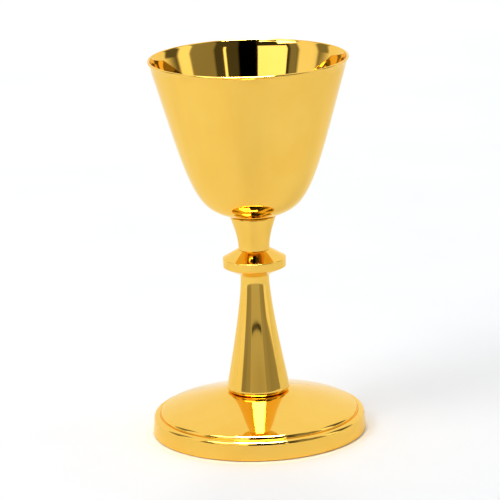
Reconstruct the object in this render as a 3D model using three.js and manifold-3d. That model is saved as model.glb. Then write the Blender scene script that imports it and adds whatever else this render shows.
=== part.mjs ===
// Communion chalice: a spun cup, a turned neck, knob and stem, and a spun foot,
// all threaded over one M6 tie rod and clamped by a nut inside the foot.
// Millimetres, +Z up, origin at the centre of the foot's rim, on the table.
import * as THREE from 'three';
import { mergeVertices } from 'three/addons/utils/BufferGeometryUtils.js';
import Module from 'manifold-3d';

const wasm = await Module();
wasm.setup();

// ---- driving dimensions -------------------------------------------------

// cup
const LIP_D = 92;              // outside diameter at the lip
const CUP_H = 73.9;            // from the underside of the cup to the lip
const CUP_SHEET = 1.1;         // spun wall
const CUP_TAPER = 16;          // lean of the straight wall, degrees from upright
const CUP_WALL_H = 33;         // height of the straight wall below the lip
const CUP_SEAT_R = 9.9;        // flat patch under the cup that sits on the neck
const CUP_BASE_RISE = 17.7;    // slope of the bowl where it leaves that patch, degrees
const BOWL_FULL_LOW = 0.3;     // fullness of the bowl at the bottom, as a share of its height
const BOWL_FULL_HIGH = 0.88;   // and under the straight wall
const LIP_BAND_H = 1.3;        // thickened, rounded band at the lip
const LIP_BAND_OUT = 0.12;     // how far the band stands out of the wall

// neck
const NECK_H = 16;
const NECK_TOP_R = 10.75;
const NECK_WAIST_R = 7.2;      // at its lower end
const NECK_STRAIGHT = 6.9;     // how far the lower end runs straight before it flares
const NECK_EDGE_R = 0.6;       // rounded upper edge
const NECK_WALL = 1;           // round the boss at the waist

// knob
const KNOB_H = 12.2;
const KNOB_R = 14.65;
const KNOB_RIM_H = 4;          // upright rim between the two bevels
const KNOB_RIM_LOW = 4.1;      // height of the lower bevel
const KNOB_LEDGE = 0.2;        // how far its flat faces stand out past neck and stem
const KNOB_EDGE_R = 0.35;      // broken edge of the rim

// stem
const STEM_H = 56;
const STEM_TOP_R = 6.6;
const STEM_FOOT_R = 14.6;      // widest, just above its rounded lower edge
const STEM_EDGE_R = 2.2;       // rounded lower edge
const STEM_TOP_STRAIGHT = 11.4;// how far the upper end runs straight before it flares
const STEM_FLARE = 11;         // slope of the flare at its lower end, degrees
const STEM_WALL = 2;
const STEM_WEB_H = 12;         // solid upper end around the rod

// foot
const FOOT_D = 100;
const FOOT_H = 19;           // from the table to the seat of the stem
const FOOT_SHEET = 1.5;
const FOOT_WALL_H = 7.15;      // straight edge
const FOOT_DRAFT = 0.7;        // how far the straight edge leans in, on the radius
const FOOT_EDGE_R = 0.8;       // broken lower edge
const SHOULDER_R = 1.9;        // rounded shoulder above the straight edge
const EDGE_ROLL_R = 2;          // rolled edge of the dome
const EDGE_ROLL_IN = 6;         // how far its centre is set in from the rim
const EDGE_ROLL_RISE = 1.75;    // height of its centre above the straight edge
const DOME_RISE_LOW = 20;      // slope of the dome at its rolled edge, degrees
const DOME_RISE_TOP = 15;      // and at its flat crown
const SEAT_MARGIN = 2.6;       // flat crown past the edge of the stem
const RIM_LIP_W = 5;           // rim turned in under the foot

// tie rod and fasteners (M6)
const ROD_D = 6;
const ROD_CLEAR = 0.4;         // all round the rod, in the turned pieces
const THREAD_GAP = 0.15;       // all round the rod, in the boss and the nut
const ROD_PROUD = 2;           // rod below the nut
const ROD_TIP = 0.5;           // chamfer at both ends
const BOSS_H = 9;
const BOSS_BORE = 7.5;         // threaded depth
const ROD_SHORT = 0.5;         // rod stops short of the bottom of the bore
const DISC_MARGIN = 3.5;       // flat crown past the edge of the disc
const DISC_H = 3;
const WASHER_R = 6;
const WASHER_H = 1.6;
const SPRING_R = 5.9;
const SPRING_H = 1.6;
const SPRING_GAP = 0.1;        // around the rod
const SPRING_SPLIT = 16;       // width of the split, degrees
const NUT_AF = 10;             // across flats
const NUT_H = 5;

// spigots
const FIT = 0.2;               // radial clearance of every spigot in its recess
const FIT_END = 0.3;           // free length beyond every spigot
const NECK_SPIGOT_R = 5.2;
const NECK_SPIGOT_H = 1.6;
const STEM_SPIGOT_R = 4.9;
const STEM_SPIGOT_H = 2;
const PLUG_H = 7;
const PLUG_SPIGOT_R = 6.2;
const PLUG_SPIGOT_H = 1.2;

// facets round the axis
const WIDE = 60;
const SLIM = 40;
const SMALL = 24;

// ---- heights, from the table up -----------------------------------------

const STEM_Z = FOOT_H;
const KNOB_Z = STEM_Z + STEM_H;
const NECK_Z = KNOB_Z + KNOB_H;
const CUP_Z = NECK_Z + NECK_H;
const LIP_Z = CUP_Z + CUP_H;
const DISC_Z = FOOT_H - FOOT_SHEET - DISC_H;
const WASHER_Z = DISC_Z - WASHER_H;
const SPRING_Z = WASHER_Z - SPRING_H;
const NUT_Z = SPRING_Z - NUT_H;
const BOSS_Z = CUP_Z - BOSS_H;
const ROD_Z = NUT_Z - ROD_PROUD;
const ROD_TOP = BOSS_Z + BOSS_BORE - ROD_SHORT;
const HOLE_R = ROD_D / 2 + ROD_CLEAR;
const THREAD_R = ROD_D / 2 + THREAD_GAP;

// ---- radii that follow from their neighbours ------------------------------

const BOSS_R = NECK_WAIST_R - NECK_WALL - FIT;
const KNOB_TOP_R = NECK_WAIST_R + KNOB_LEDGE;
const KNOB_LOW_R = STEM_TOP_R + KNOB_LEDGE;
const STEM_SEAT_R = STEM_FOOT_R - STEM_EDGE_R;
const PLUG_R = STEM_SEAT_R - STEM_WALL;
const SEAT_R = STEM_SEAT_R + SEAT_MARGIN;
const DISC_R = SEAT_R - DISC_MARGIN;

// ---- outline helpers: points are (radius, height) ------------------------

const rad = (deg) => (deg * Math.PI) / 180;
const at = (r, z) => new THREE.Vector2(r, z);

// arc about (r, z), angles in degrees from straight out, anticlockwise
function arc(r, z, radius, from, to, steps) {
  return Array.from({ length: steps + 1 }, (_, i) => {
    const a = rad(from + ((to - from) * i) / steps);
    return at(r + radius * Math.cos(a), z + radius * Math.sin(a));
  });
}

// cubic curve from a to b, leaving a towards headA and reaching b from headB
function curve(a, headA, headB, b, steps) {
  return new THREE.CubicBezierCurve(a, headA, headB, b).getPoints(steps);
}

// the same outline moved sideways by distance, to its left as it is walked
function offset(points, distance) {
  return points.map((p, i) => {
    const before = points[Math.max(i - 1, 0)];
    const after = points[Math.min(i + 1, points.length - 1)];
    const along = after.clone().sub(before).normalize();
    return at(p.x - along.y * distance, p.y + along.x * distance);
  });
}

// turned or spun piece: the outline is walked anticlockwise, up its outside
function turned(outline, facets) {
  const closed = outline[0].x === 0 ? outline : [...outline, outline[0].clone()];
  return new THREE.LatheGeometry(closed, facets).rotateX(Math.PI / 2);
}

// flat piece of constant thickness, its outline drawn in the XY plane
function plate(shape, z, thickness, facets) {
  const options = { depth: thickness, bevelEnabled: false, curveSegments: facets };
  return new THREE.ExtrudeGeometry(shape, options).translate(0, 0, z);
}

function toSolid(geometry) {
  const bare = geometry.clone();
  bare.deleteAttribute('normal');
  bare.deleteAttribute('uv');
  const merged = mergeVertices(bare, 1e-4);
  const corners = merged.index.array;
  const faces = [];
  for (let i = 0; i < corners.length; i += 3) {
    const [a, b, c] = corners.slice(i, i + 3);
    if (a !== b && b !== c && c !== a) faces.push(a, b, c);
  }
  const vertProperties = new Float32Array(merged.attributes.position.array);
  const mesh = new wasm.Mesh({ numProp: 3, vertProperties, triVerts: new Uint32Array(faces) });
  return new wasm.Manifold(mesh);
}

function fromSolid(solid) {
  const { vertProperties, triVerts } = solid.getMesh();
  const geometry = new THREE.BufferGeometry();
  geometry.setAttribute('position', new THREE.BufferAttribute(vertProperties, 3));
  geometry.setIndex(new THREE.BufferAttribute(triVerts, 1));
  geometry.computeVertexNormals();
  return geometry;
}

// ---- cup ------------------------------------------------------------------

// outside of the bowl, from the edge of its seat up to the lip band
function cupOutside() {
  const lean = Math.tan(rad(CUP_TAPER));
  const wallR = (z) => LIP_D / 2 - LIP_BAND_OUT - (LIP_Z - z) * lean;
  const bend = at(wallR(LIP_Z - CUP_WALL_H), LIP_Z - CUP_WALL_H);
  const seat = at(CUP_SEAT_R, CUP_Z);
  const rise = rad(CUP_BASE_RISE);
  const low = BOWL_FULL_LOW * (CUP_H - CUP_WALL_H);
  const high = BOWL_FULL_HIGH * (CUP_H - CUP_WALL_H);
  const headLow = at(seat.x + low * Math.cos(rise), seat.y + low * Math.sin(rise));
  const headHigh = at(bend.x - high * lean, bend.y - high);
  const top = LIP_Z - LIP_BAND_H;
  return [...curve(seat, headLow, headHigh, bend, 10), at(wallR(top), top)];
}

function cup() {
  const outside = cupOutside();
  const inside = offset(outside, CUP_SHEET).reverse();
  const underBand = outside.at(-1);
  const edge = (CUP_SHEET + LIP_BAND_OUT) / 2;
  const outline = [
    at(0, CUP_Z),
    ...outside,
    at(underBand.x + LIP_BAND_OUT, underBand.y + LIP_BAND_OUT),
    ...arc(LIP_D / 2 - edge, LIP_Z - edge, edge, 0, 180, 4),
    ...inside,
    at(0, CUP_Z + CUP_SHEET),
  ];
  return turned(outline, WIDE);
}

// threaded boss brazed under the cup
function cupBoss() {
  const bottom = THREAD_R + ROD_TIP;
  return turned([
    at(0, BOSS_Z + BOSS_BORE),
    at(THREAD_R, BOSS_Z + BOSS_BORE),
    at(THREAD_R, BOSS_Z + ROD_TIP),
    at(bottom, BOSS_Z),
    at(BOSS_R - ROD_TIP, BOSS_Z),
    at(BOSS_R, BOSS_Z + ROD_TIP),
    at(BOSS_R, CUP_Z),
    at(0, CUP_Z),
  ], SMALL);
}

// ---- neck -----------------------------------------------------------------

function neck() {
  const top = NECK_Z + NECK_H;
  const waist = at(NECK_WAIST_R, NECK_Z);
  const flare = at(NECK_TOP_R - NECK_EDGE_R * 0.6, top - NECK_EDGE_R * 1.4);
  const socket = top - BOSS_H - FIT_END;
  return turned([
    at(HOLE_R, NECK_Z - NECK_SPIGOT_H),
    at(NECK_SPIGOT_R, NECK_Z - NECK_SPIGOT_H),
    at(NECK_SPIGOT_R, NECK_Z),
    ...curve(waist, at(waist.x, waist.y + NECK_STRAIGHT), at(flare.x - 0.35, flare.y - 2.6), flare, 6),
    ...arc(NECK_TOP_R - NECK_EDGE_R, top - NECK_EDGE_R, NECK_EDGE_R, -20, 90, 4),
    at(BOSS_R + FIT, top),
    at(BOSS_R + FIT, socket),
    at(HOLE_R, socket),
  ], SLIM);
}

// ---- knob -----------------------------------------------------------------

function knob() {
  const top = KNOB_Z + KNOB_H;
  const rimLow = KNOB_Z + KNOB_RIM_LOW;
  const rimTop = rimLow + KNOB_RIM_H;
  const e = KNOB_EDGE_R;
  const lower = STEM_SPIGOT_H + FIT_END;
  const upper = NECK_SPIGOT_H + FIT_END;
  return turned([
    at(STEM_SPIGOT_R + FIT, KNOB_Z),
    at(KNOB_LOW_R, KNOB_Z),
    at(KNOB_R - 2 * e, rimLow - e * 0.8),
    ...arc(KNOB_R - e, rimLow + e * 0.6, e, -45, 0, 2),
    ...arc(KNOB_R - e, rimTop - e * 0.6, e, 0, 45, 2),
    at(KNOB_R - 2 * e, rimTop + e * 0.8),
    at(KNOB_TOP_R, top),
    at(NECK_SPIGOT_R + FIT, top),
    at(NECK_SPIGOT_R + FIT, top - upper),
    at(HOLE_R, top - upper),
    at(HOLE_R, KNOB_Z + lower),
    at(STEM_SPIGOT_R + FIT, KNOB_Z + lower),
  ], SLIM);
}

// ---- stem -----------------------------------------------------------------

// outside of the stem, from its rounded lower edge up to the knob
function stemOutside() {
  const lean = Math.tan(rad(STEM_FLARE));
  const low = at(STEM_FOOT_R, STEM_Z + STEM_EDGE_R);
  const high = at(STEM_TOP_R, KNOB_Z);
  const reach = STEM_H * 0.33;
  const headLow = at(low.x - reach * lean, low.y + reach);
  return curve(low, headLow, at(high.x, high.y - STEM_TOP_STRAIGHT), high, 8);
}

function stem() {
  const outside = stemOutside();
  const plugTop = STEM_Z + PLUG_H + FIT_END;
  const webZ = KNOB_Z - STEM_WEB_H;
  const bore = offset(outside, STEM_WALL).reverse().filter((p) => p.y < webZ - 1 && p.y > plugTop + 1);
  const plugBore = PLUG_R + FIT;
  return turned([
    at(plugBore, STEM_Z),
    ...arc(STEM_SEAT_R, STEM_Z + STEM_EDGE_R, STEM_EDGE_R, -90, -15, 4),
    ...outside,
    at(STEM_SPIGOT_R, KNOB_Z),
    at(STEM_SPIGOT_R, KNOB_Z + STEM_SPIGOT_H),
    at(HOLE_R, KNOB_Z + STEM_SPIGOT_H),
    at(HOLE_R, webZ),
    ...bore,
    at(plugBore, plugTop),
  ], SLIM);
}

// turned plug in the wide end of the stem, centred on the foot by its spigot
function stemPlug() {
  const r = PLUG_R;
  return turned([
    at(HOLE_R, STEM_Z - PLUG_SPIGOT_H),
    at(PLUG_SPIGOT_R, STEM_Z - PLUG_SPIGOT_H),
    at(PLUG_SPIGOT_R, STEM_Z),
    at(r, STEM_Z),
    at(r, STEM_Z + PLUG_H - ROD_TIP),
    at(r - ROD_TIP, STEM_Z + PLUG_H),
    at(HOLE_R, STEM_Z + PLUG_H),
  ], SMALL);
}

// ---- foot -----------------------------------------------------------------

function foot() {
  const rimR = FOOT_D / 2;
  const wallTop = rimR - FOOT_DRAFT;
  const inner = wallTop - FOOT_SHEET;
  const edge = at(rimR - EDGE_ROLL_IN, FOOT_WALL_H + EDGE_ROLL_RISE);
  const edgeOut = edge.x + EDGE_ROLL_R;
  const hollow = EDGE_ROLL_R - FOOT_SHEET;
  const shoulderX = wallTop - SHOULDER_R;
  const grooveZ = FOOT_WALL_H + Math.sqrt(SHOULDER_R ** 2 - (shoulderX - edgeOut) ** 2);
  const grooveAngle = (Math.atan2(grooveZ - FOOT_WALL_H, edgeOut - shoulderX) * 180) / Math.PI;
  const round = arc(edge.x, edge.y, EDGE_ROLL_R, 0, 90 - DOME_RISE_LOW, 4);
  const domeOut = round.at(-1);
  const seat = at(SEAT_R, FOOT_H);
  const reach = (domeOut.x - seat.x) * 0.22;
  const headOut = at(domeOut.x - reach, domeOut.y + reach * Math.tan(rad(DOME_RISE_LOW)));
  const headTop = at(seat.x + reach, seat.y - reach * Math.tan(rad(DOME_RISE_TOP)));
  const dome = curve(domeOut, headOut, headTop, seat, 5);
  const under = offset(dome, FOOT_SHEET).reverse();
  return turned([
    at(rimR - RIM_LIP_W, 0),
    at(rimR - FOOT_EDGE_R, 0),
    at(rimR, FOOT_EDGE_R),
    ...arc(shoulderX, FOOT_WALL_H, SHOULDER_R, 0, grooveAngle, 4),
    ...round,
    ...dome.slice(1),
    at(PLUG_SPIGOT_R + FIT, FOOT_H),
    at(PLUG_SPIGOT_R + FIT, FOOT_H - FOOT_SHEET),
    ...under,
    at(edge.x + hollow, edge.y),
    at(edgeOut - FOOT_SHEET, grooveZ - FOOT_SHEET),
    at(shoulderX, grooveZ - FOOT_SHEET),
    at(inner, FOOT_WALL_H),
    at(inner, FOOT_SHEET),
    at(rimR - RIM_LIP_W, FOOT_SHEET),
  ], WIDE);
}

// brass disc inside the foot that spreads the nut's load
function clampDisc() {
  return turned([
    at(HOLE_R, DISC_Z),
    at(DISC_R - ROD_TIP, DISC_Z),
    at(DISC_R, DISC_Z + ROD_TIP),
    at(DISC_R, DISC_Z + DISC_H),
    at(HOLE_R, DISC_Z + DISC_H),
  ], SMALL);
}

// ---- tie rod and fasteners ------------------------------------------------

function tieRod() {
  const r = ROD_D / 2;
  return turned([
    at(0, ROD_Z),
    at(r - ROD_TIP, ROD_Z),
    at(r, ROD_Z + ROD_TIP),
    at(r, ROD_TOP - ROD_TIP),
    at(r - ROD_TIP, ROD_TOP),
    at(0, ROD_TOP),
  ], SMALL);
}

function flatWasher() {
  return turned([
    at(HOLE_R, WASHER_Z),
    at(WASHER_R, WASHER_Z),
    at(WASHER_R, WASHER_Z + WASHER_H),
    at(HOLE_R, WASHER_Z + WASHER_H),
  ], SMALL);
}

// split ring, squeezed flat
function springWasher() {
  const half = rad(SPRING_SPLIT / 2);
  const ring = new THREE.Shape();
  ring.absarc(0, 0, SPRING_R, half, 2 * Math.PI - half, false);
  ring.absarc(0, 0, ROD_D / 2 + SPRING_GAP, 2 * Math.PI - half, half, true);
  ring.closePath();
  return plate(ring, SPRING_Z, SPRING_H, SMALL);
}

// hexagon with its corners turned off, cut by a threaded hole
function hexNut() {
  const cornerR = NUT_AF / 2 / Math.cos(Math.PI / 6);
  const hexagon = new THREE.Shape();
  for (let i = 0; i < 6; i++) {
    const a = (i * Math.PI) / 3;
    hexagon.lineTo(cornerR * Math.cos(a), cornerR * Math.sin(a));
  }
  const blank = toSolid(plate(hexagon, NUT_Z, NUT_H, 1));
  const chamfer = (cornerR - NUT_AF / 2) * Math.tan(Math.PI / 6);
  const barrel = toSolid(turned([
    at(0, NUT_Z),
    at(NUT_AF / 2, NUT_Z),
    at(cornerR, NUT_Z + chamfer),
    at(cornerR, NUT_Z + NUT_H - chamfer),
    at(NUT_AF / 2, NUT_Z + NUT_H),
    at(0, NUT_Z + NUT_H),
  ], SLIM));
  const hole = toSolid(turned([
    at(0, NUT_Z - 1),
    at(THREAD_R, NUT_Z - 1),
    at(THREAD_R, NUT_Z + NUT_H + 1),
    at(0, NUT_Z + NUT_H + 1),
  ], SMALL));
  return fromSolid(blank.intersect(barrel).subtract(hole));
}

// ---- the chalice ----------------------------------------------------------

const gold = { color: 0xe9b850, roughness: 0.08, metalness: 1 };
const brass = { color: 0xc9a050, roughness: 0.3, metalness: 1 };
const steel = { color: 0xb8bcc0, roughness: 0.35, metalness: 1 };

const pieces = [
  ['cup', cup, gold],
  ['cup_boss', cupBoss, brass],
  ['neck', neck, gold],
  ['knob', knob, gold],
  ['stem', stem, gold],
  ['stem_plug', stemPlug, brass],
  ['foot', foot, gold],
  ['clamp_disc', clampDisc, brass],
  ['tie_rod', tieRod, steel],
  ['flat_washer', flatWasher, steel],
  ['spring_washer', springWasher, steel],
  ['hex_nut', hexNut, steel],
];

const chalice = new THREE.Group();
for (const [name, make, finish] of pieces) {
  const mesh = new THREE.Mesh(make(), new THREE.MeshStandardMaterial(finish));
  mesh.name = name;
  chalice.add(mesh);
}

export default chalice;
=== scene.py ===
import math

import bpy
from mathutils import Matrix, Vector


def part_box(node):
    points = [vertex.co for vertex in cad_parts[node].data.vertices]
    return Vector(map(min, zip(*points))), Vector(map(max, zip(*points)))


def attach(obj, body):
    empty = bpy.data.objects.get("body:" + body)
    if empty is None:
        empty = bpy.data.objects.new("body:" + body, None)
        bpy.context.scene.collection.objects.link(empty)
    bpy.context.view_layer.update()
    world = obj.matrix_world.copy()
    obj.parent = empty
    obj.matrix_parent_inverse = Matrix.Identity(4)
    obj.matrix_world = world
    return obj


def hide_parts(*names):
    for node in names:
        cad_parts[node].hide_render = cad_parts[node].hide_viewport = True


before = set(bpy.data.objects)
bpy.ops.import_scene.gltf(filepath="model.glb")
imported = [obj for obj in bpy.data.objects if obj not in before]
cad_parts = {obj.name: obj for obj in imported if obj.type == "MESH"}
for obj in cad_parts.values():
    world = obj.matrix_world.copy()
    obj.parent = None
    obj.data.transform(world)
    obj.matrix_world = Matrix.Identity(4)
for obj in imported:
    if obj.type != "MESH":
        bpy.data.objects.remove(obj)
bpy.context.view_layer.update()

# Communion chalice. Lengths are millimetres in this script and become metres where a
# vertex, light or camera is placed. Points of an outline are (radius, height).
MM = 0.001
ROUND = 256  # faces round the axis of the large pieces
SLIM = 192
SMALL = 96


def size_of(node):
    low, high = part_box(node)
    return low / MM, high / MM


# ---- sizes taken from the frame ---------------------------------------------

CUP_LOW, CUP_HIGH = size_of("cup")
NECK_LOW, NECK_HIGH = size_of("neck")
KNOB_LOW, KNOB_HIGH = size_of("knob")
STEM_LOW, STEM_HIGH = size_of("stem")
_, FOOT_HIGH = size_of("foot")
BOSS_LOW, BOSS_HIGH = size_of("cup_boss")
PLUG_LOW, PLUG_HIGH = size_of("stem_plug")
DISC_LOW, DISC_HIGH = size_of("clamp_disc")
ROD_LOW, ROD_HIGH = size_of("tie_rod")
WASHER_LOW, WASHER_HIGH = size_of("flat_washer")
SPRING_LOW, SPRING_HIGH = size_of("spring_washer")
NUT_LOW, NUT_HIGH = size_of("hex_nut")

HOLE = 3.4            # radius of the clearance hole for the tie rod
FIT = 0.2             # radial clearance of a spigot in its recess
END = 0.3             # free length beyond a spigot
NECK_SPIGOT_R = 5.2   # from the neck down into the knob
STEM_SPIGOT_R = 4.9   # from the stem up into the knob
PLUG_SPIGOT_R = 6.2   # from the plug down into the foot
THREAD_R = 3.15       # threaded holes of the boss and the nut
SHEET = 1.5           # sheet that the foot is spun from
SMOOTH = 32           # edges sharper than this many degrees stay sharp

# ---- outlines ---------------------------------------------------------------


def arc(r, z, radius, start, end, steps):
    """Points round (r, z), angles in degrees from straight out, anticlockwise."""
    turn = [math.radians(start + (end - start) * i / steps) for i in range(steps + 1)]
    return [(r + radius * math.cos(a), z + radius * math.sin(a)) for a in turn]


def curve(a, head_a, head_b, b, steps):
    """A cubic curve from a to b, leaving towards head_a and arriving from head_b."""
    points = []
    for i in range(steps + 1):
        t = i / steps
        w = ((1 - t) ** 3, 3 * t * (1 - t) ** 2, 3 * t * t * (1 - t), t ** 3)
        points.append(tuple(sum(k * p[j] for k, p in zip(w, (a, head_a, head_b, b))) for j in (0, 1)))
    return points


def straight(a, b, hold=0.12):
    """A straight stretch with a point close to each end, which keeps its face true."""
    length = math.dist(a, b)
    k = hold / length
    near = tuple(p + (q - p) * k for p, q in zip(a, b))
    far = tuple(q - (q - p) * k for p, q in zip(a, b))
    return [a, near, far, b]


def offset(points, distance):
    """The same outline moved to its left by a wall's thickness."""
    moved = []
    for i, p in enumerate(points):
        a, b = points[max(i - 1, 0)], points[min(i + 1, len(points) - 1)]
        length = math.dist(a, b)
        moved.append((p[0] - (b[1] - a[1]) / length * distance, p[1] + (b[0] - a[0]) / length * distance))
    return moved


def joined(*stretches):
    """One outline from several stretches, without the points that they share."""
    points = []
    for stretch in stretches:
        for p in stretch:
            if not points or math.dist(p, points[-1]) > 0.004:
                points.append(p)
    return points


def chamfered(corners, cut):
    """A closed section with each corner cut back by cut."""
    points = []
    for i, p in enumerate(corners):
        for q in (corners[i - 1], corners[(i + 1) % len(corners)]):
            k = cut / math.dist(p, q)
            points.append((p[0] + (q[0] - p[0]) * k, p[1] + (q[1] - p[1]) * k))
    return points


# ---- the lathe --------------------------------------------------------------


def drawn(name, outline, way=(1, 0)):
    """Draws half the section beside the axis, point by point, in the upright plane that holds way."""
    def at(r, z):
        return (r * way[0] * MM, r * way[1] * MM, z * MM)

    bpy.ops.object.select_all(action="DESELECT")
    bpy.ops.mesh.primitive_plane_add(size=MM, location=at(*outline[0]))
    piece = bpy.context.object
    piece.name = piece.data.name = name
    bpy.ops.object.transform_apply(location=True, rotation=True, scale=True)
    bpy.ops.object.mode_set(mode="EDIT")
    bpy.ops.mesh.select_all(action="SELECT")
    bpy.ops.mesh.merge(type="CENTER")
    for a, b in zip(outline, outline[1:]):
        step = at(b[0] - a[0], b[1] - a[1])
        bpy.ops.mesh.extrude_vertices_move(TRANSFORM_OT_translate={"value": step})
    return piece


def spun(steps, angle):
    """Spins the drawn section round the axis and welds where it meets itself."""
    bpy.ops.mesh.select_all(action="SELECT")
    bpy.ops.mesh.spin(steps=steps, angle=angle, center=(0, 0, 0), axis=(0, 0, 1))
    weld()


def weld():
    bpy.ops.mesh.select_all(action="SELECT")
    bpy.ops.mesh.remove_doubles(threshold=0.001 * MM)


def finished(smooth=SMOOTH):
    """Turns the faces outwards, leaves edit mode and smooths what is round."""
    bpy.ops.mesh.select_all(action="SELECT")
    bpy.ops.mesh.normals_make_consistent(inside=False)
    bpy.ops.object.mode_set(mode="OBJECT")
    bpy.ops.object.shade_smooth_by_angle(angle=math.radians(smooth))


def turned(name, outline, steps):
    """A full turn of a section, which is closed on the axis or by its first point."""
    closed = outline if outline[0][0] == 0 else outline + [outline[0]]
    piece = drawn(name, closed)
    spun(steps, 2 * math.pi)
    finished()
    return piece


# ---- pieces -----------------------------------------------------------------


def make_cup():
    lip_r, lip_z, base_z = CUP_HIGH.x, CUP_HIGH.z, CUP_LOW.z
    sheet = 1.1
    band, band_out = 1.3, 0.12          # height of the bead at the lip, and how far it stands out
    lean = math.tan(math.radians(16))   # of the straight wall
    rise = math.radians(17.7)           # of the bottom, where it leaves the seat
    wall_h = 33
    wall_r = lip_r - band_out
    bowl_h = lip_z - base_z - wall_h
    seat = (9.9, base_z)
    bend = (wall_r - wall_h * lean, lip_z - wall_h)
    low, high = 0.3 * bowl_h, 0.88 * bowl_h  # how far the bowl's curve keeps to its two ends
    head_low = (seat[0] + low * math.cos(rise), seat[1] + low * math.sin(rise))
    head_high = (bend[0] - high * lean, bend[1] - high)
    under_band = (wall_r - band * lean, lip_z - band)
    wall = [tuple(p + (q - p) * i / 10 for p, q in zip(bend, under_band)) for i in range(11)]
    bowl = curve(seat, head_low, head_high, bend, 48)
    outside = joined(bowl, wall)
    inside = offset(outside, sheet)[::-1]
    edge = (sheet + band_out) / 2
    bead = arc(lip_r - edge, lip_z - edge, edge, -6, 176, 16)
    step = curve(under_band, (under_band[0] + 0.02, under_band[1] + 0.1),
                 (bead[0][0] - 0.02, bead[0][1] - 0.3), bead[0], 5)
    outline = joined(
        straight((0, base_z), seat),
        outside,
        step,
        bead,
        inside,
        [(4, base_z + sheet), (0, base_z + sheet)],
    )
    return turned("cup", outline, ROUND)


def make_neck():
    top, bottom = NECK_HIGH.z, KNOB_HIGH.z
    top_r, waist_r, edge = NECK_HIGH.x, 7.2, 0.6
    upright = 6.9  # height over which the waist stays close to straight
    spigot_r, boss_r = NECK_SPIGOT_R, BOSS_HIGH.x + FIT
    socket = BOSS_LOW.z - END
    flare = (top_r - edge * 0.6, top - edge * 1.4)
    heads = (waist_r, bottom + upright), (flare[0] - 0.35, flare[1] - 2.6)
    outline = joined(
        [(HOLE, NECK_LOW.z), (spigot_r - 0.3, NECK_LOW.z), (spigot_r, NECK_LOW.z + 0.3)],
        straight((spigot_r, bottom), (waist_r - 0.15, bottom)),
        curve((waist_r, bottom + 0.15), *heads, flare, 40),
        arc(top_r - edge, top - edge, edge, -20, 90, 10),
        straight((top_r - edge, top), (boss_r, top))[1:],
        [(boss_r, socket), (HOLE, socket)],
    )
    return turned("neck", outline, SLIM)


def make_knob():
    bottom, top, r = KNOB_LOW.z, KNOB_HIGH.z, KNOB_HIGH.x
    rim_low, rim_high = bottom + 4.1, bottom + 8.1
    low_r, top_r, soft = 6.8, 7.4, 0.35
    recess_low, recess_low_z = STEM_SPIGOT_R + FIT, STEM_HIGH.z + END
    recess_top, recess_top_z = NECK_SPIGOT_R + FIT, NECK_LOW.z - END
    lower = math.degrees(math.atan2(rim_low - bottom, r - low_r))
    upper = math.degrees(math.atan2(top - rim_high, r - top_r))
    rim = joined(
        arc(r - soft, rim_low + soft * 0.7, soft, lower - 90, 0, 8),
        arc(r - soft, rim_high - soft * 0.7, soft, 0, 90 - upper, 8),
    )
    outline = joined(
        [(recess_low, bottom)],
        straight((low_r, bottom), rim[0]),
        rim,
        straight(rim[-1], (top_r, top)),
        [(recess_top, top), (recess_top, recess_top_z), (HOLE, recess_top_z), (HOLE, recess_low_z),
         (recess_low, recess_low_z)],
    )
    return turned("knob", outline, SLIM)


def make_stem():
    bottom, top = STEM_LOW.z, KNOB_LOW.z
    top_r, foot_r, edge = 6.6, STEM_HIGH.x, 2.2
    lean = math.tan(math.radians(11))
    reach = (top - bottom) * 0.33
    plug_r = PLUG_HIGH.x + FIT
    plug_top = PLUG_HIGH.z + END
    web = top - 12  # the solid end that carries the spigot
    wall = 2
    low = (foot_r, bottom + edge)
    outside = curve(low, (low[0] - reach * lean, low[1] + reach), (top_r, top - 11.4), (top_r, top), 56)
    bore = [p for p in offset(outside, wall)[::-1] if plug_top + 1 < p[1] < web - 1]
    outline = joined(
        [(plug_r, bottom)],
        arc(foot_r - edge, bottom + edge, edge, -90, -4, 14),
        outside,
        [(STEM_SPIGOT_R, top), (STEM_SPIGOT_R, STEM_HIGH.z), (HOLE, STEM_HIGH.z), (HOLE, web)],
        bore[::3],
        [(plug_r, plug_top)],
    )
    return turned("stem", outline, SLIM)


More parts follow.
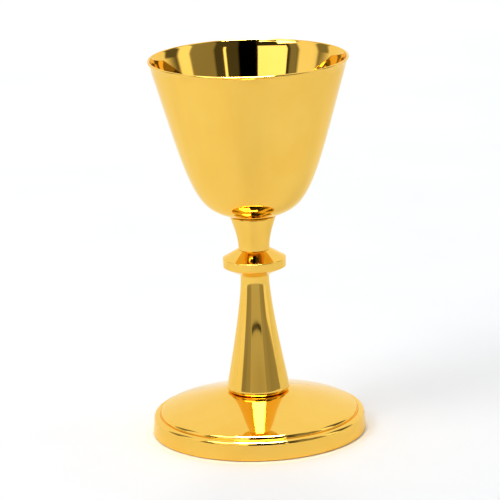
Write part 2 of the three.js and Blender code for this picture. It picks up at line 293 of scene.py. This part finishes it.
def make_foot():
    rim, top = FOOT_HIGH.x, FOOT_HIGH.z
    draft, edge, wall_h = 0.7, 0.8, 7.15
    wall_top = rim - draft
    inner = wall_top - SHEET
    lip = rim - 5  # the rim is turned in under the foot as far as this
    shoulder = 1.9
    shoulder_r = wall_top - shoulder
    roll = 2.0     # rolled edge of the dome
    roll_r, roll_z = rim - 6, wall_h + 1.75
    roll_out = roll_r + roll
    groove_z = wall_h + math.sqrt(shoulder ** 2 - (roll_out - shoulder_r) ** 2)
    groove = math.degrees(math.atan2(groove_z - wall_h, roll_out - shoulder_r))
    low, high = 20, 15  # slope of the dome at its edge and at its crown
    over = arc(roll_r, roll_z, roll, -8, 90 - low, 20)
    end, seat = over[-1], (15, top)
    reach = (end[0] - seat[0]) * 0.22
    head_low = (end[0] - reach, end[1] + reach * math.tan(math.radians(low)))
    head_high = (seat[0] + reach, seat[1] - reach * math.tan(math.radians(high)))
    dome = curve(end, head_low, head_high, seat, 56)
    crown = curve(dome[-2], (seat[0] + 0.3, top - 0.08), (seat[0] - 0.2, top), (seat[0] - 0.7, top), 5)
    hole = PLUG_SPIGOT_R + FIT
    outline = joined(
        [(lip, 0.4), (lip + 0.4, 0)],
        straight((lip + 0.4, 0), (rim - edge, 0)),
        arc(rim - edge, edge, edge, -90, 0, 6),
        straight((rim, edge), (wall_top, wall_h)),
        arc(shoulder_r, wall_h, shoulder, 0, groove - 6, 20),
        over,
        dome[1:-2],
        crown,
        straight(crown[-1], (hole, top))[1:],
        [(hole, top - SHEET)],
        offset(dome, SHEET)[::-3],
        arc(roll_r, roll_z, roll - SHEET, 90 - low, 0, 4)[1:],
        [(roll_out - SHEET, groove_z - SHEET), (shoulder_r, groove_z - SHEET),
         (inner, wall_h), (inner, SHEET + 1), (inner - 1, SHEET), (lip + 0.4, SHEET), (lip, SHEET - 0.4)],
    )
    return turned("foot", outline, ROUND)


# ---- small parts ------------------------------------------------------------


def make_boss():
    bottom, top, r = BOSS_LOW.z, BOSS_HIGH.z, BOSS_HIGH.x
    bore, depth, tip = THREAD_R, 7.5, 0.5
    return turned("cup_boss", [
        (0, bottom + depth), (bore, bottom + depth), (bore, bottom + tip), (bore + tip, bottom),
        (r - tip, bottom), (r, bottom + tip), (r, top), (0, top),
    ], SMALL)


def make_plug():
    bottom, top, r = PLUG_LOW.z, PLUG_HIGH.z, PLUG_HIGH.x
    seat, tip = FOOT_HIGH.z, 0.5
    return turned("stem_plug", [
        (HOLE, bottom), (PLUG_SPIGOT_R, bottom), (PLUG_SPIGOT_R, seat), (r, seat),
        (r, top - tip), (r - tip, top), (HOLE, top),
    ], SMALL)


def make_disc():
    bottom, top, r = DISC_LOW.z, DISC_HIGH.z, DISC_HIGH.x
    return turned("clamp_disc", [
        (HOLE + 0.3, bottom), (r - 0.5, bottom), (r - 0.15, bottom + 0.15), (r, bottom + 0.5),
        (r, top - 0.2), (r - 0.2, top), (HOLE, top), (HOLE, bottom + 0.3),
    ], SMALL)


def make_rod():
    """M6 rod with its thread cut as V grooves at both ends."""
    bottom, top, r = ROD_LOW.z, ROD_HIGH.z, ROD_HIGH.x
    pitch, deep, tip = 1.0, 0.45, 0.5
    nut_end, boss_end = 16, 8  # turns of thread at the lower and the upper end
    outline = [(0, bottom), (r - tip, bottom)]
    for i in range(nut_end):
        z = bottom + tip + i * pitch
        outline += [(r, z + 0.06), (r, z + 0.18), (r - deep, z + 0.6)]
    outline += [(r, bottom + tip + nut_end * pitch + 0.06)]
    for i in range(boss_end):
        z = top - tip - (boss_end - i) * pitch
        outline += [(r, z), (r - deep, z + 0.42), (r, z + 0.84)]
    outline += [(r - tip, top), (0, top)]
    return turned("tie_rod", outline, SMALL)


WASHER_CHAMFER = 0.12


def make_washer():
    bottom, top, r = WASHER_LOW.z, WASHER_HIGH.z, WASHER_HIGH.x
    section = [(HOLE, bottom), (r, bottom), (r, top), (HOLE, top)]
    return turned("flat_washer", chamfered(section, WASHER_CHAMFER), SMALL)


def make_spring():
    """Split ring, squeezed flat: the section is spun part of the way and both ends are closed."""
    bottom, top, r = SPRING_LOW.z, SPRING_HIGH.z, -SPRING_LOW.x
    inner, split = 3.1, math.radians(16)
    section = chamfered([(inner, bottom), (r, bottom), (r, top), (inner, top)], WASHER_CHAMFER)
    way = (math.cos(split / 2), math.sin(split / 2))
    piece = drawn("spring_washer", section + [section[0]], way)
    spun(SMALL, split - 2 * math.pi)
    bpy.ops.mesh.select_all(action="SELECT")
    bpy.ops.mesh.fill_holes(sides=0)
    finished()
    return piece


def make_nut():
    """Turned blank with its corners rounded off, then six flats cut on it."""
    bottom, top = NUT_LOW.z, NUT_HIGH.z
    flat, corner = NUT_HIGH.y, NUT_HIGH.x
    bore, lead = THREAD_R, 0.5
    cut = (corner - flat) * math.tan(math.radians(30))
    nut = turned("hex_nut", [
        (bore + lead, bottom), (flat - 0.1, bottom),
        (corner, bottom + cut + 0.05), (corner, top - cut - 0.05),
        (flat - 0.1, top), (bore + lead, top), (bore, top - lead), (bore, bottom + lead),
    ], SMALL)
    bpy.ops.object.mode_set(mode="EDIT")
    for i in range(6):
        a = math.radians(30 + 60 * i)
        bpy.ops.mesh.select_all(action="SELECT")
        bpy.ops.mesh.bisect(
            plane_co=(flat * math.cos(a) * MM, flat * math.sin(a) * MM, bottom * MM),
            plane_no=(math.cos(a), math.sin(a), 0), use_fill=True, clear_outer=True)
    weld()
    finished(smooth=20)
    return nut


# ---- materials --------------------------------------------------------------


def linear(hex_colour):
    """An sRGB hex colour as linear RGBA."""
    parts = [int(hex_colour[i:i + 2], 16) / 255 for i in (0, 2, 4)]
    return [c / 12.92 if c <= 0.04045 else ((c + 0.055) / 1.055) ** 2.4 for c in parts] + [1]


def add(tree, kind, settings, links):
    """Adds one node, with its settings and what its inputs are linked to."""
    node = tree.nodes.new(kind)
    for key, value in settings.items():
        if isinstance(key, int) or key in node.inputs:
            node.inputs[key].default_value = value
        else:
            setattr(node, key, value)
    for socket, source in links.items():
        tree.links.new(source, node.inputs[socket])
    return node


def new_material(name):
    """An empty node tree with object coordinates, the shader and the output."""
    m = bpy.data.materials.new(name)
    m.use_nodes = True
    tree = m.node_tree
    tree.nodes.clear()
    place = add(tree, "ShaderNodeTexCoord", {}, {})
    shader = add(tree, "ShaderNodeBsdfPrincipled", {}, {})
    add(tree, "ShaderNodeOutputMaterial", {}, {0: shader.outputs[0]})
    return m, tree, place.outputs["Object"], shader


def noise(tree, place, grain, detail=2.0, stretch=(1, 1, 1)):
    """Noise whose features are about grain millimetres across."""
    scaled = add(tree, "ShaderNodeMapping", {"Scale": stretch}, {0: place})
    return add(tree, "ShaderNodeTexNoise", {"Scale": 1 / (grain * MM), "Detail": detail},
               {"Vector": scaled.outputs[0]}).outputs[0]


def ranged(tree, source, low, high, start=0.3, end=0.7):
    """Source brought from start..end to low..high."""
    return add(tree, "ShaderNodeMapRange", {1: start, 2: end, 3: low, 4: high}, {0: source}).outputs[0]


def rings(tree, place, grain):
    """Fine lines that run round the axis, as a lathe or a polishing mop leaves them."""
    xyz = add(tree, "ShaderNodeSeparateXYZ", {}, {0: place})
    xx = add(tree, "ShaderNodeMath", {"operation": "MULTIPLY"}, {0: xyz.outputs[0], 1: xyz.outputs[0]})
    yy = add(tree, "ShaderNodeMath", {"operation": "MULTIPLY_ADD"},
             {0: xyz.outputs[1], 1: xyz.outputs[1], 2: xx.outputs[0]})
    out = add(tree, "ShaderNodeMath", {"operation": "SQRT"}, {0: yy.outputs[0]})
    flat = add(tree, "ShaderNodeCombineXYZ", {}, {0: out.outputs[0], 2: xyz.outputs[2]})
    return add(tree, "ShaderNodeTexNoise", {"Scale": 1 / (grain * MM), "Detail": 3.0},
               {"Vector": flat.outputs[0]}).outputs[0]


def mixed(tree, factor, a, b):
    """Colour a where factor is 0, b where it is 1."""
    node = add(tree, "ShaderNodeMix", {"data_type": "RGBA"}, {0: factor})
    node.inputs[6].default_value = a
    node.inputs[7].default_value = b
    return node.outputs[2]


GOLD_DEEP = "F2C052"
GOLD_PALE = "F4C75C"
GOLD_AT_GLANCE = "FFF8DE"  # tint of its reflection at a low angle
GLOSS = (0.035, 0.07)      # roughness, from freshly wiped to a little dull


def gold_plate():
    # gold-plated brass: hard gold electroplated on a brass body that was polished on a mop
    m, tree, place, shader = new_material("gold_plate")
    shader.inputs["Metallic"].default_value = 1
    shader.inputs["Specular Tint"].default_value = linear(GOLD_AT_GLANCE)
    cloud = noise(tree, place, 22, 3)
    tone = mixed(tree, ranged(tree, cloud, 0, 1), linear(GOLD_DEEP), linear(GOLD_PALE))
    tree.links.new(tone, shader.inputs["Base Color"])
    wiped = ranged(tree, noise(tree, place, 9, 4, (1, 1, 0.5)), *GLOSS, 0.35, 0.75)
    tree.links.new(wiped, shader.inputs["Roughness"])
    # the lines left by the mop are far finer, they are drawn about a millimetre apart to be seen at all
    lines = add(tree, "ShaderNodeBump", {"Strength": 0.25, "Distance": 0.0022 * MM}, {
        "Height": rings(tree, place, 1.2)})
    waves = add(tree, "ShaderNodeBump", {"Strength": 0.6, "Distance": 0.05 * MM}, {
        "Height": noise(tree, place, 18, 1), "Normal": lines.outputs[0]})
    tree.links.new(waves.outputs[0], shader.inputs["Normal"])
    return m


def turned_brass():
    # brass CZ121: free-machining bar, turned and left bare, a little dulled
    m, tree, place, shader = new_material("turned_brass")
    shader.inputs["Metallic"].default_value = 1
    dull = noise(tree, place, 5, 4)
    tone = mixed(tree, ranged(tree, dull, 0, 1), linear("D9B566"), linear("B98B45"))
    tree.links.new(tone, shader.inputs["Base Color"])
    tree.links.new(ranged(tree, dull, 0.22, 0.4), shader.inputs["Roughness"])
    cut = add(tree, "ShaderNodeBump", {"Strength": 0.5, "Distance": 0.01 * MM}, {
        "Height": rings(tree, place, 0.35)})
    tree.links.new(cut.outputs[0], shader.inputs["Normal"])
    return m


def zinc_steel():
    # zinc-plated steel: bright zinc with a faint yellow-blue passivation
    m, tree, place, shader = new_material("zinc_plated_steel")
    shader.inputs["Metallic"].default_value = 1
    cloud = noise(tree, place, 3, 3)
    tone = mixed(tree, ranged(tree, cloud, 0, 1), linear("C7CDD3"), linear("CFC9B4"))
    tree.links.new(tone, shader.inputs["Base Color"])
    tree.links.new(ranged(tree, noise(tree, place, 1.2, 4), 0.25, 0.45), shader.inputs["Roughness"])
    skin = add(tree, "ShaderNodeBump", {"Strength": 0.3, "Distance": 0.006 * MM}, {
        "Height": noise(tree, place, 0.4, 3)})
    tree.links.new(skin.outputs[0], shader.inputs["Normal"])
    return m


MATERIALS = {
    "gold_plate": gold_plate(),
    "turned_brass": turned_brass(),
    "zinc_plated_steel": zinc_steel(),
}

PIECES = (
    ("cup", make_cup, "gold_plate"),
    ("cup_boss", make_boss, "turned_brass"),
    ("neck", make_neck, "gold_plate"),
    ("knob", make_knob, "gold_plate"),
    ("stem", make_stem, "gold_plate"),
    ("stem_plug", make_plug, "turned_brass"),
    ("foot", make_foot, "gold_plate"),
    ("clamp_disc", make_disc, "turned_brass"),
    ("tie_rod", make_rod, "zinc_plated_steel"),
    ("flat_washer", make_washer, "zinc_plated_steel"),
    ("spring_washer", make_spring, "zinc_plated_steel"),
    ("hex_nut", make_nut, "zinc_plated_steel"),
)

for node, make, slot in PIECES:
    piece = make()
    piece.data.materials.append(MATERIALS[slot])
    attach(piece, "root")
    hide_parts(node)


# ---- studio -----------------------------------------------------------------

CAMERA_AT = (0, -1341.8, 435.6)
TILT, PAN, ROLL = -14.586, -0.08, -1.8626
LENS = 215.8


def make_camera():
    data = bpy.data.cameras.new("camera")
    data.lens = LENS
    data.sensor_width = 36
    data.clip_end = 20
    cam = bpy.data.objects.new("camera", data)
    bpy.context.scene.collection.objects.link(cam)
    tilt, pan, roll = (math.radians(a) for a in (TILT, PAN, ROLL))
    forward = Vector((math.sin(pan) * math.cos(tilt), math.cos(pan) * math.cos(tilt), math.sin(tilt)))
    right = Vector((math.cos(pan), -math.sin(pan), 0))
    up = right.cross(forward)
    level = math.cos(roll) * right + math.sin(roll) * up
    upright = math.cos(roll) * up - math.sin(roll) * right
    cam.matrix_world = Matrix((
        (level.x, upright.x, -forward.x, CAMERA_AT[0] * MM),
        (level.y, upright.y, -forward.y, CAMERA_AT[1] * MM),
        (level.z, upright.z, -forward.z, CAMERA_AT[2] * MM),
        (0, 0, 0, 1),
    ))
    bpy.context.scene.camera = cam


# the table: round in front, where its edge is close to the chalice, wide and deep behind it
TABLE_FRONT, TABLE_BACK, TABLE_HALF = 440, 2600, 1500


def make_table():
    back = [(TABLE_HALF, 0), (TABLE_HALF, TABLE_BACK), (-TABLE_HALF, TABLE_BACK), (-TABLE_HALF, 0)]
    outline = arc(0, 0, TABLE_FRONT, 180, 360, 96) + back
    mesh = bpy.data.meshes.new("table")
    mesh.from_pydata([(x * MM, y * MM, 0) for x, y in outline], [], [list(range(len(outline)))])
    table = bpy.data.objects.new("table", mesh)
    bpy.context.scene.collection.objects.link(table)
    # white card: a matt coated sheet laid over the table
    m, tree, place, shader = new_material("white_card")
    grain = mixed(tree, ranged(tree, noise(tree, place, 120, 3), 0, 1), linear("F3F5F8"), linear("F7F9FB"))
    tree.links.new(grain, shader.inputs["Base Color"])
    shader.inputs["Roughness"].default_value = 0.8
    shader.inputs["Specular IOR Level"].default_value = 0.1
    table.data.materials.append(m)


# What stands round the chalice, seen from it: azimuth (0 is the front, 90 the right), half width,
# elevation, half height, all in degrees, then brightness and how many degrees soft its edge is. Later
# ones lie on top. An azimuth of 180 means what lies behind, on both sides. ROOM is the rest of the room.
ROOM = 0.34
AROUND = (
    ("ceiling", 180, 180, 75, 27, 0.95, 3),
    ("backdrop", 180, 114, 22, 55, 1.05, 3),
    ("floor beyond the table", 0, 47, -9, 17, 0.38, 2),
    ("lighter floor", 0, 31, -8, 13, 0.56, 2),
    ("left stand", -70, 20, 1.9, 0.5, 0.3, 0.3),
    ("left stand, upper", -72, 16, 3.8, 0.3, 0.3, 0.2),
    ("right stand", 76, 13, 0.4, 2.0, 0.35, 0.6),
    ("right stand, upper", 74, 16, 3.8, 0.3, 0.3, 0.2),
    ("dark wall", 0, 70, 34, 26, 0.03, 2),
    ("curtain", 22, 22, 26, 18, 0.07, 5),
    ("photographer", 0, 12, 29, 21, 0.0, 2),
    ("right wall", 60, 17, 27, 19, 0.30, 2),
    ("right panel", 86, 8, 22, 16, 1.3, 2),
    ("right rear screen", 108, 12, 27, 19, 0.12, 3),
    ("right strip", 29, 1.7, 18, 10, 1.7, 0.7),
    ("left softbox", -32, 19, 18, 10, 1.65, 0.5),
    ("left wall", -60, 5, 27, 19, 0.25, 2),
    ("left panel", -79, 12, 22, 14, 1.1, 3),
    ("left rear screen", -106, 10, 27, 19, 0.25, 3),
    ("camera stand", 0, 27, 1.6, 0.4, 0.0, 0.15),
)


def make_world():
    world = bpy.data.worlds.new("studio")
    bpy.context.scene.world = world
    world.use_nodes = True
    tree = world.node_tree
    tree.nodes.clear()
    way = add(tree, "ShaderNodeTexCoord", {}, {})
    xyz = add(tree, "ShaderNodeSeparateXYZ", {}, {0: way.outputs["Generated"]})
    front = add(tree, "ShaderNodeMath", {"operation": "MULTIPLY", 1: -1}, {0: xyz.outputs[1]})
    azimuth = add(tree, "ShaderNodeMath", {"operation": "ARCTAN2"}, {0: xyz.outputs[0], 1: front.outputs[0]})
    height = add(tree, "ShaderNodeMath", {"operation": "ARCSINE"}, {0: xyz.outputs[2]})
    level = None
    turned_away = add(tree, "ShaderNodeMath", {"operation": "ABSOLUTE"}, {0: azimuth.outputs[0]}).outputs[0]
    for name, az, half_w, el, half_h, bright, soft in AROUND:
        turn = turned_away if az == 180 else azimuth.outputs[0]
        sides = []
        for source, centre, half in ((turn, az, half_w), (height.outputs[0], el, half_h)):
            off = add(tree, "ShaderNodeMath", {"operation": "SUBTRACT", 1: math.radians(centre)}, {0: source})
            away = add(tree, "ShaderNodeMath", {"operation": "ABSOLUTE"}, {0: off.outputs[0]})
            edge = add(tree, "ShaderNodeMapRange", {
                "interpolation_type": "SMOOTHSTEP", 3: 0, 4: 1,
                1: math.radians(half + soft), 2: math.radians(half - soft)}, {0: away.outputs[0]})
            sides.append(edge.outputs[0])
        shape = add(tree, "ShaderNodeMath", {"operation": "MULTIPLY"}, {0: sides[0], 1: sides[1]})
        under = {2: level} if level else {}
        over = add(tree, "ShaderNodeMix", {"data_type": "FLOAT", 2: ROOM, 3: bright},
                   {0: shape.outputs[0], **under})
        over.label = name
        level = over.outputs[0]
    lit = add(tree, "ShaderNodeBackground", {0: (1, 1, 1, 1)}, {1: level})
    plain = add(tree, "ShaderNodeBackground", {0: (1, 1, 1, 1), 1: 1.0}, {})
    path = add(tree, "ShaderNodeLightPath", {}, {})
    chosen = add(tree, "ShaderNodeMixShader", {}, {
        0: path.outputs["Is Camera Ray"], 1: lit.outputs[0], 2: plain.outputs[0]})
    add(tree, "ShaderNodeOutputWorld", {}, {0: chosen.outputs[0]})


AIM_Z = 90  # the lights face this height on the axis


def softbox(name, az, el, distance, width, height, radiance, on_table=True):
    """A rectangular light that faces the chalice: azimuth, elevation, distance, size and radiance."""
    data = bpy.data.lights.new(name, "AREA")
    data.shape = "RECTANGLE"
    data.size, data.size_y = width * MM, height * MM
    data.energy = radiance * math.pi * data.size * data.size_y
    light = bpy.data.objects.new(name, data)
    bpy.context.scene.collection.objects.link(light)
    a, e = math.radians(az), math.radians(el)
    way = Vector((math.sin(a) * math.cos(e), -math.cos(a) * math.cos(e), math.sin(e)))
    light.location = Vector((0, 0, AIM_Z * MM)) + way * distance * MM
    light.rotation_euler = way.to_track_quat("Z", "Y").to_euler()
    light.visible_camera = False
    light.visible_diffuse = on_table
    return light


make_camera()
make_table()
make_world()
softbox("overhead", 0, 74, 1200, 750, 550, 45, on_table=False)
softbox("upper_left", -30, 50, 1300, 400, 220, 9, on_table=False)
softbox("table_light", -55, 48, 1600, 600, 600, 6.4)
softbox("far_light", 180, 42, 2200, 1200, 800, 3.6).visible_glossy = False
bpy.context.scene.view_settings.view_transform = "Standard"
